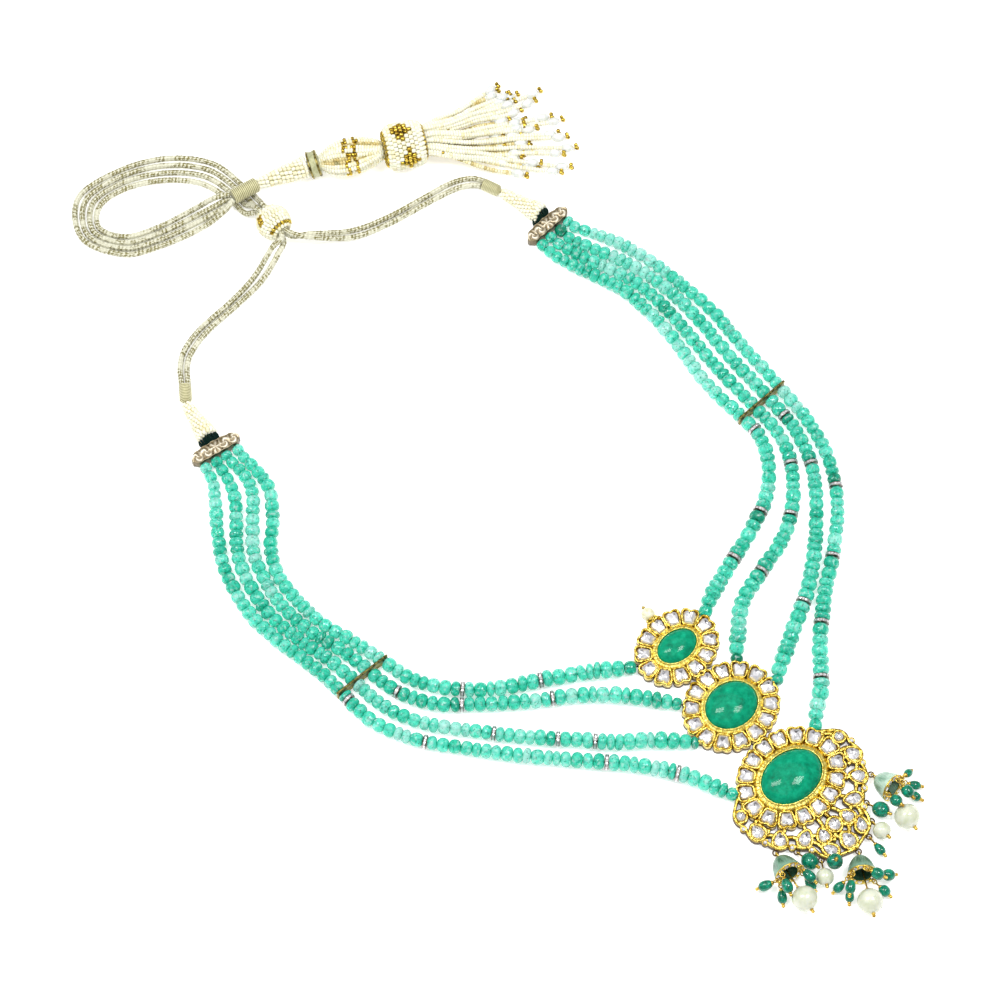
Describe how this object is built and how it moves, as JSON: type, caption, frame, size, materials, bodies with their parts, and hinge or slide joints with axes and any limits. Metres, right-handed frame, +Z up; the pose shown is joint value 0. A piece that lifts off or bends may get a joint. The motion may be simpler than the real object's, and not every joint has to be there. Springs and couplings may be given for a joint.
{
  "type": "polki necklace",
  "caption": "Necklace of green bead strings with three stone-set oval pendants, hanging drops, end bars, a sliding cord closure and a tassel.",
  "frame": {"origin": "middle of the necklace's footprint, without its cords, on the surface it lies on", "axes": "+Z up from the surface; +Y along the necklace from the pendants to the closure; +X to the wearer's left when the pendants point to the viewer"},
  "size_m": [0.2102, 0.3825, 0.0175],
  "materials": {
    "gold": "polished yellow gold",
    "emerald": "smooth cabochon, translucent green",
    "green_beads": "smooth translucent aqua-green stone",
    "polki": "flat-cut pale stone over foil",
    "pearl": "pearl lustre",
    "seed_pearl": "small ivory seed beads",
    "carved_stone": "carved pale green stone with a gold rim",
    "green_drops": "polished deep green",
    "silver": "oxidised silver set with small stones",
    "dark_gold": "dark worn gold",
    "champagne": "carved pale gold with brown lines",
    "cord": "braided ivory and old-gold thread",
    "tie": "dark green silk thread",
    "thread": "beading thread"
  },
  "bodies": {
    "root": {"pendant_1": "gold", "pendant_2": "gold", "pendant_3": "gold", "cabochon_1": "emerald", "cabochon_2": "emerald", "cabochon_3": "emerald", "polki_stones_1": "polki", "polki_stones_2": "polki", "polki_stones_3": "polki", "lattice_stones": "polki", "top_pearl": "pearl", "links": "gold", "beads_left_1": "green_beads", "beads_left_2": "green_beads", "beads_left_3": "green_beads", "beads_left_4": "green_beads", "beads_right_1": "green_beads", "beads_right_2": "green_beads", "beads_right_3": "green_beads", "beads_right_4": "green_beads", "string_left_1": "green_beads", "string_left_2": "green_beads", "string_left_3": "green_beads", "string_left_4": "green_beads", "string_right_1": "green_beads", "string_right_2": "green_beads", "string_right_3": "green_beads", "string_right_4": "green_beads", "threads": "thread", "diamond_spacers": "silver", "strand_bar_left": "dark_gold", "strand_bar_right": "dark_gold", "end_bar_left": "champagne", "end_bar_right": "champagne", "ties": "tie", "pearl_cone_left": "seed_pearl", "pearl_cone_right": "seed_pearl", "cord_wrap_left": "cord", "cord_wrap_right": "cord", "cord_left_1": "cord", "cord_left_2": "cord", "cord_right_1": "cord", "cord_right_2": "cord", "slider": "seed_pearl", "tassel_wrap": "cord", "tassel_cone": "seed_pearl", "tassel_ring": "gold", "tassel_bulb": "seed_pearl", "tassel_barrel": "seed_pearl", "tassel_skirt": "seed_pearl", "dome_left": "carved_stone", "dome_middle": "carved_stone", "dome_right": "carved_stone", "large_pearl_left": "pearl", "large_pearl_middle": "pearl", "large_pearl_right": "pearl", "small_pearls": "pearl", "green_drops": "green_drops", "drop_pins": "gold"}
  },
  "joints": []
}
